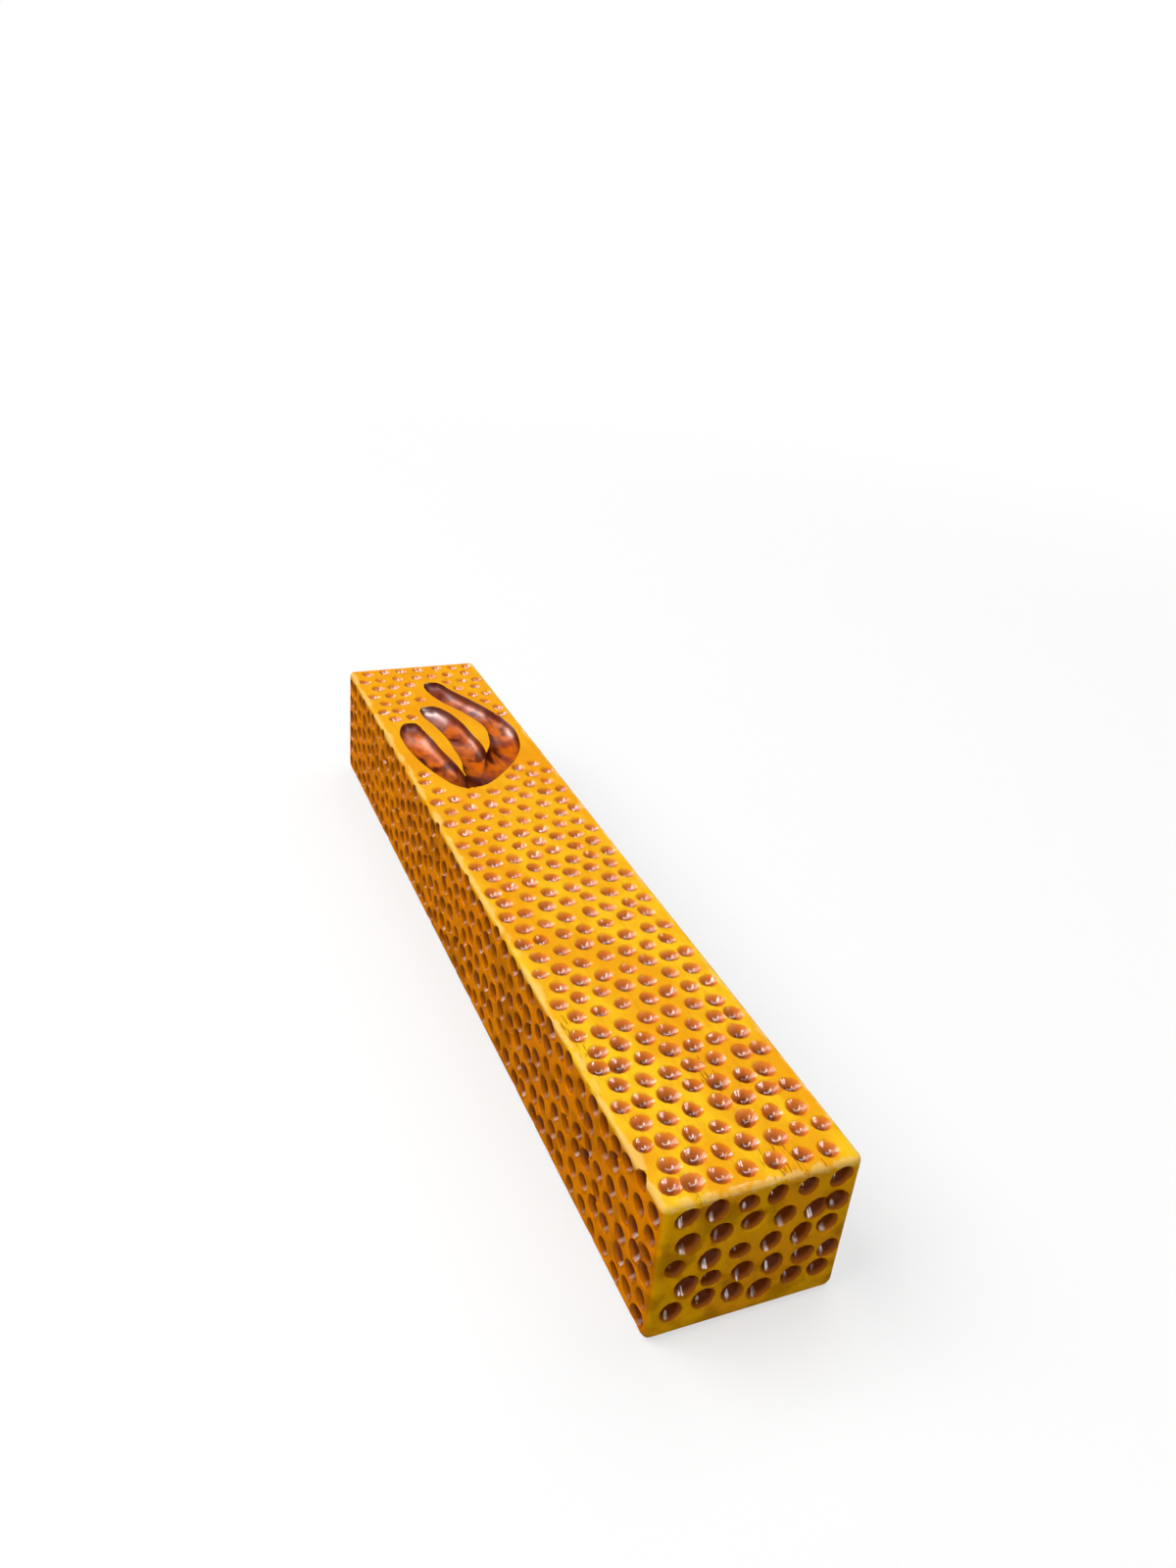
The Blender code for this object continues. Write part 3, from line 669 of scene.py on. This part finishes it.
def amber_lacquered_hardwood(name, hollowed):
    """Pale hardwood under an amber stain and a clear lacquer, for the flats or for the hollows.

    The flats glow yellow to orange with a fine grain and are rubbed back to paler wood at the front's edges.
    The sides and ends are painted darker and oranger than the front, partly as stain and partly as painted
    shade.
    The hollows hold a red-brown stain, darker on the sides and ends and towards the foot partly as painted
    shade, and the lacquer that ran into them gives small hard lights.
    """
    patterns = {
        "patches": (12 * MM, 22 * MM, 2),
        "mottling": (2.5 * MM, 5 * MM, 3),
        "stain_and_painted_shade": (5 * MM, 7 * MM, 3),
        "grain": (0.7 * MM, 14 * MM, 3),
        "pores": (0.22 * MM, 2.6 * MM, 1),
        "pore_patches": (7 * MM, 22 * MM, 2),
        "pooling": (4 * MM, 4 * MM, 2),
        "rubbing": (1.5 * MM, 5 * MM, 3),
    }
    material, tree, shader, place, drawn = start_material(name, patterns)
    depth, edge, under_front, from_ends = depth_below_faces(tree, place)
    on_front = blend(tree, under_front, 1.2 * MM, 0.6 * MM)
    off_front = combine(tree, "SUBTRACT", 1, on_front)
    on_sides = combine(tree, "MULTIPLY", off_front, blend(tree, from_ends, 0.1 * MM, 0.7 * MM))
    # Dark patches on the sides and ends only: partly stain, partly painted shade
    stain_and_painted_shade = combine(tree, "MULTIPLY", drawn["stain_and_painted_shade"], off_front)
    # Pores show only in patches of the front near the foot end
    along = add_node(tree, "ShaderNodeSeparateXYZ", {0: place}).outputs["Y"]
    near_foot = combine(tree, "MULTIPLY", on_front, blend(tree, along, -18 * MM, -36 * MM))
    toward_top = combine(tree, "MULTIPLY", on_front, blend(tree, along, -70 * MM, 70 * MM))
    pores = combine(tree, "MULTIPLY", drawn["pores"], blend(tree, drawn["pore_patches"], 0.48, 0.64))
    pores = combine(tree, "MULTIPLY", pores, near_foot)
    # Edges are rubbed unevenly
    edge = combine(tree, "ADD", edge, blend(tree, drawn["rubbing"], 0.3, 0.7, -0.6 * MM, 0.6 * MM))
    rubbed = combine(tree, "MULTIPLY", blend(tree, edge, 0.9 * MM, 0.1 * MM), on_front)
    layers = [
        (on_front, 0, 1, 1, "#FCC822"),
        (toward_top, 0, 1, 0.6, "#F09414"),
        (drawn["patches"], 0.44, 0.62, 0.7, "#EE9812"),
        (drawn["mottling"], 0.42, 0.66, 0.45, "#F0A012"),
        (drawn["grain"], 0.48, 0.74, 0.25, "#D8820C"),
        (pores, 0.55, 0.65, 0.8, "#7E4206"),
        # The sides' deeper orange and the dark patches on the sides and ends: partly stain, partly painted
        # shade
        (on_sides, 0, 1, 0.8, "#EA7E00"),
        (stain_and_painted_shade, 0.46, 0.66, 0.5, "#8E5400"),
        (rubbed, 0, 1, 0.6, "#F9CC74"),
    ]
    if hollowed:
        # Stain pools unevenly in the hollows. Away from the front, and more towards the foot, the hollows are
        # darkened further: partly stain, partly painted shade
        pooled = combine(tree, "ADD", depth, blend(tree, drawn["pooling"], 0.3, 0.7, -0.10 * MM, 0.10 * MM))
        stain_and_shade_toward_foot = blend(tree, along, -30 * MM, 50 * MM, 1, 0.6)
        stain_and_shade_off_front = combine(tree, "MULTIPLY", pooled, off_front)
        stain_and_shade_off_front = combine(tree, "MULTIPLY", stain_and_shade_off_front, stain_and_shade_toward_foot)
        layers += [
            (pooled, 0.08 * MM, 0.26 * MM, 0.85, "#DE780C"),
            (pooled, 0.20 * MM, 0.60 * MM, 0.9, "#C26410"),
            (pooled, 0.50 * MM, 1.00 * MM, 0.9, "#7A3806"),
            # Partly painted shade: the hollows on the sides and ends are darkened further, more towards the
            # foot
            (stain_and_shade_off_front, 0.02 * MM, 0.20 * MM, 0.85, "#A85A02"),
            (stain_and_shade_off_front, 0.25 * MM, 0.80 * MM, 0.92, "#662800"),
        ]
        # The lacquer ran unevenly on the sides
        thin = combine(tree, "MULTIPLY", on_sides, blend(tree, drawn["pooling"], 0.62, 0.44, 0.2, 0.85))
        ran = combine(tree, "SUBTRACT", 1, thin)
        coat = combine(tree, "MULTIPLY", blend(tree, depth, 0.05 * MM, 0.3 * MM, 0, 0.25), ran)
        tree.links.new(coat, shader.inputs["Coat Weight"])
        sheen = combine(tree, "MULTIPLY", blend(tree, depth, 0.05 * MM, 0.3 * MM, 0, 0.03), on_front)
        tree.links.new(sheen, shader.inputs["Specular IOR Level"])
    else:
        shader.inputs["Coat Weight"].default_value = 0.02
        shader.inputs["Specular IOR Level"].default_value = 0
    colour = lay_colours(tree, "#F4B002", layers)
    tree.links.new(colour, shader.inputs["Base Color"])
    tree.links.new(blend(tree, drawn["rubbing"], 0, 1, 0.30, 0.45), shader.inputs["Roughness"])
    add_bump(tree, shader, drawn["grain"], 0.05 * MM, 0.5)
    shader.inputs["Coat Roughness"].default_value = 0.05
    shader.inputs["Coat IOR"].default_value = 1.45
    return material


def mahogany_stained_gouging():
    """Gouged hardwood under a dark mahogany stain and the same lacquer.

    It is maroon at the tips and glows orange in the broad lower floors, and its walls are painted nearly black
    as shade.
    """
    patterns = {
        "clouds": (3.5 * MM, 5 * MM, 2),
        "dark": (3 * MM, 5 * MM, 1.5),
        "streaks": (0.5 * MM, 5 * MM, 2),
        "lacquer": (5 * MM, 8 * MM, 1),
    }
    material, tree, shader, place, drawn = start_material("mahogany_stained_gouging", patterns)
    under_front = depth_below_faces(tree, place)[2]
    along = add_node(tree, "ShaderNodeSeparateXYZ", {0: place}).outputs["Y"]
    feeds = {"Value": along, "From Min": 52 * MM, "From Max": 36 * MM, "To Min": -0.08, "To Max": 0.12}
    lower = add_node(tree, "ShaderNodeMapRange", feeds).outputs["Result"]
    glow = combine(tree, "ADD", drawn["clouds"], lower)
    feeds = {"Value": along, "From Min": 52 * MM, "From Max": 40 * MM, "To Min": -0.10, "To Max": 0.02}
    lower = add_node(tree, "ShaderNodeMapRange", feeds).outputs["Result"]
    dark = combine(tree, "ADD", drawn["dark"], lower)
    layers = (
        (glow, 0.40, 0.66, 1, "#D46604"),
        (drawn["streaks"], 0.50, 0.75, 0.45, "#7A2C0C"),
        (dark, 0.48, 0.64, 0.9, "#441004"),
        (along, 31 * MM, 23 * MM, 0.7, "#4E1408"),
        # Painted shade: the gouge's walls darken, most near the front and least down on the floor
        (under_front, 1.7 * MM, 0.5 * MM, 0.8, "#521806"),
    )
    colour = lay_colours(tree, "#8E3A22", layers)
    tree.links.new(colour, shader.inputs["Base Color"])
    bump = add_bump(tree, shader, drawn["dark"], 0.25 * MM, 0.6)
    tree.links.new(bump, shader.inputs["Coat Normal"])
    # The lacquer lies thick in some places and has soaked away in others
    coat = blend(tree, drawn["lacquer"], 0.40, 0.58, 0.06, 0.5)
    coat = combine(tree, "MULTIPLY", coat, blend(tree, along, 35 * MM, 42 * MM, 0.2))
    tree.links.new(coat, shader.inputs["Coat Weight"])
    shader.inputs["Roughness"].default_value = 0.35
    shader.inputs["Specular IOR Level"].default_value = 0
    shader.inputs["Coat Roughness"].default_value = 0.36
    return material


def plain_oiled_hardwood():
    """The same hardwood, planed and oiled but not stained: pale honey, with straight grain and fine pores."""
    patterns = {
        "bands": (2.4 * MM, 70 * MM, 3),
        "grain": (0.35 * MM, 12 * MM, 3),
        "pores": (0.18 * MM, 2.4 * MM, 1),
    }
    material, tree, shader, _, drawn = start_material("plain_oiled_hardwood", patterns)
    layers = (
        (drawn["bands"], 0.38, 0.62, 0.8, "#C6935A"),
        (drawn["grain"], 0.45, 0.75, 0.5, "#B37F48"),
        (drawn["pores"], 0.60, 0.72, 0.8, "#7E5430"),
    )
    colour = lay_colours(tree, "#DDB882", layers)
    tree.links.new(colour, shader.inputs["Base Color"])
    feeds = {"Value": drawn["grain"], "To Min": 0.62, "To Max": 0.85}
    roughness = add_node(tree, "ShaderNodeMapRange", feeds).outputs["Result"]
    tree.links.new(roughness, shader.inputs["Roughness"])
    shader.inputs["Specular IOR Level"].default_value = 0.02
    add_bump(tree, shader, drawn["grain"], 0.06 * MM, 0.6)
    return material


def calfskin_parchment():
    """Scraped calfskin: warm cream, clouded and freckled, with a dull sheen."""
    patterns = {
        "clouds": (9 * MM, 12 * MM, 4),
        "freckles": (0.6 * MM, 0.6 * MM, 2),
        "creases": (5 * MM, 1.2 * MM, 3),
    }
    material, tree, shader, _, drawn = start_material("calfskin_parchment", patterns)
    layers = (
        (drawn["clouds"], 0.40, 0.68, 0.8, "#D8C194"),
        (drawn["creases"], 0.55, 0.75, 0.35, "#C9AE7E"),
        (drawn["freckles"], 0.62, 0.74, 0.5, "#B9945E"),
    )
    colour = lay_colours(tree, "#EDE2C6", layers)
    tree.links.new(colour, shader.inputs["Base Color"])
    add_bump(tree, shader, drawn["creases"], 0.12 * MM, 0.5)
    shader.inputs["Roughness"].default_value = 0.55
    return material


def add_camera():
    data = bpy.data.cameras.new("camera")
    data.lens = CAMERA_LENS_MM
    data.sensor_width = CAMERA_SENSOR_MM
    data.clip_start = MM
    camera = bpy.data.objects.new("camera", data)
    camera.location = Vector(CAMERA_PLACE_MM) * MM
    camera.rotation_euler = [math.radians(turn) for turn in CAMERA_TURN_DEGREES]
    bpy.context.scene.collection.objects.link(camera)
    bpy.context.scene.camera = camera


def background_ray(tree):
    """1 where the camera, a gloss or a glass looks at the background, and 0 where it lights the case."""
    ray = add_node(tree, "ShaderNodeLightPath", {}).outputs
    seen = ray["Is Camera Ray"]
    for kind in ("Is Glossy Ray", "Is Transmission Ray"):
        seen = combine(tree, "MAXIMUM", seen, ray[kind])
    return seen


def add_floor():
    """A plain white floor, as bright as the backdrop except near the case, where it holds the shadow."""
    deselect_all()
    bpy.ops.mesh.primitive_plane_add(size=FLOOR_SIZE, location=(0, 0, -FLOOR_GAP))
    floor = bpy.context.object
    floor.name = "floor"
    bpy.ops.object.transform_apply(location=True, rotation=False, scale=True)
    material = bpy.data.materials.new("matt_white_floor")
    material.use_nodes = True
    tree = material.node_tree
    tree.nodes.clear()
    place = add_node(tree, "ShaderNodeTexCoord", {}).outputs["Object"]
    away = add_node(tree, "ShaderNodeVectorMath", {0: place}, operation="LENGTH").outputs["Value"]
    far = blend(tree, away, FLOOR_NEAR, FLOOR_FAR)
    seen = background_ray(tree)
    feeds = {0: seen, 6: linear(FLOOR_BOUNCE), 7: linear(FLOOR_WHITE)}
    colour = add_node(tree, "ShaderNodeMix", feeds, data_type="RGBA").outputs[2]
    matt = add_node(tree, "ShaderNodeBsdfDiffuse", {"Color": colour}).outputs[0]
    bright = add_node(tree, "ShaderNodeEmission", {"Color": linear(BACKDROP_WHITE), "Strength": 1}).outputs[0]
    feeds = {"Value": far, "To Min": SHADOW_FADE}
    bleached = add_node(tree, "ShaderNodeMapRange", feeds).outputs["Result"]
    share = combine(tree, "MULTIPLY", seen, bleached)
    mixed = add_node(tree, "ShaderNodeMixShader", {0: share, 1: matt, 2: bright}).outputs[0]
    add_node(tree, "ShaderNodeOutputMaterial", {"Surface": mixed})
    floor.data.materials.append(material)


def add_studio():
    """A dim room with a white horizon, so that the lacquer keeps its colour, before a white backdrop."""
    world = bpy.data.worlds.new("studio")
    world.use_nodes = True
    tree = world.node_tree
    ray = add_node(tree, "ShaderNodeTexCoord", {}).outputs["Generated"]
    height = add_node(tree, "ShaderNodeSeparateXYZ", {0: ray}).outputs["Z"]
    up = blend(tree, height, HORIZON_LOW, HORIZON_HIGH)
    seen = background_ray(tree)
    dim = add_node(tree, "ShaderNodeMath", {0: up, 1: seen}, operation="SUBTRACT", use_clamp=True).outputs[0]
    feeds = {0: dim, 6: linear(BACKDROP_WHITE), 7: linear(ROOM_GREY)}
    colour = add_node(tree, "ShaderNodeMix", feeds, data_type="RGBA").outputs[2]
    tree.links.new(colour, tree.nodes["Background"].inputs["Color"])
    bpy.context.scene.world = world


def add_lamps(lamps, lights_wood):
    """Rectangular lamps that face the case. Their glow is their brightness: white paper in full light is 1."""
    for name, place, size, glow in lamps:
        data = bpy.data.lights.new(name, "AREA")
        data.shape = "RECTANGLE"
        data.size, data.size_y = size
        data.energy = glow * math.pi * size[0] * size[1]
        lamp = bpy.data.objects.new(name, data)
        lamp.location = place
        away = Vector(place).normalized()
        side = Vector((0, 1, 0)) if abs(away.x) > abs(away.y) else Vector((1, 0, 0))
        up = away.cross(side).normalized()
        lamp.rotation_euler = Matrix((up.cross(away), up, away)).transposed().to_euler()
        lamp.visible_diffuse = lights_wood
        lamp.visible_glossy = not lights_wood
        bpy.context.scene.collection.objects.link(lamp)


def main():
    add_camera()
    lacquer = amber_lacquered_hardwood("amber_lacquered_hardwood", False)
    hollows = amber_lacquered_hardwood("pooled_stain_and_shade_in_hollows", True)
    stain = mahogany_stained_gouging()
    bare = plain_oiled_hardwood()
    parchment = calfskin_parchment()
    make_carved_case([lacquer, stain, bare, hollows])
    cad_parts["back_lid"].data.materials.clear()
    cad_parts["back_lid"].data.materials.append(bare)
    make_rolled_parchment(parchment)
    add_floor()
    add_lamps(SOFT_BOXES, lights_wood=True)
    add_lamps(GLINT_LAMPS, lights_wood=False)
    add_studio()
    bpy.context.scene.view_settings.view_transform = "Standard"


main()
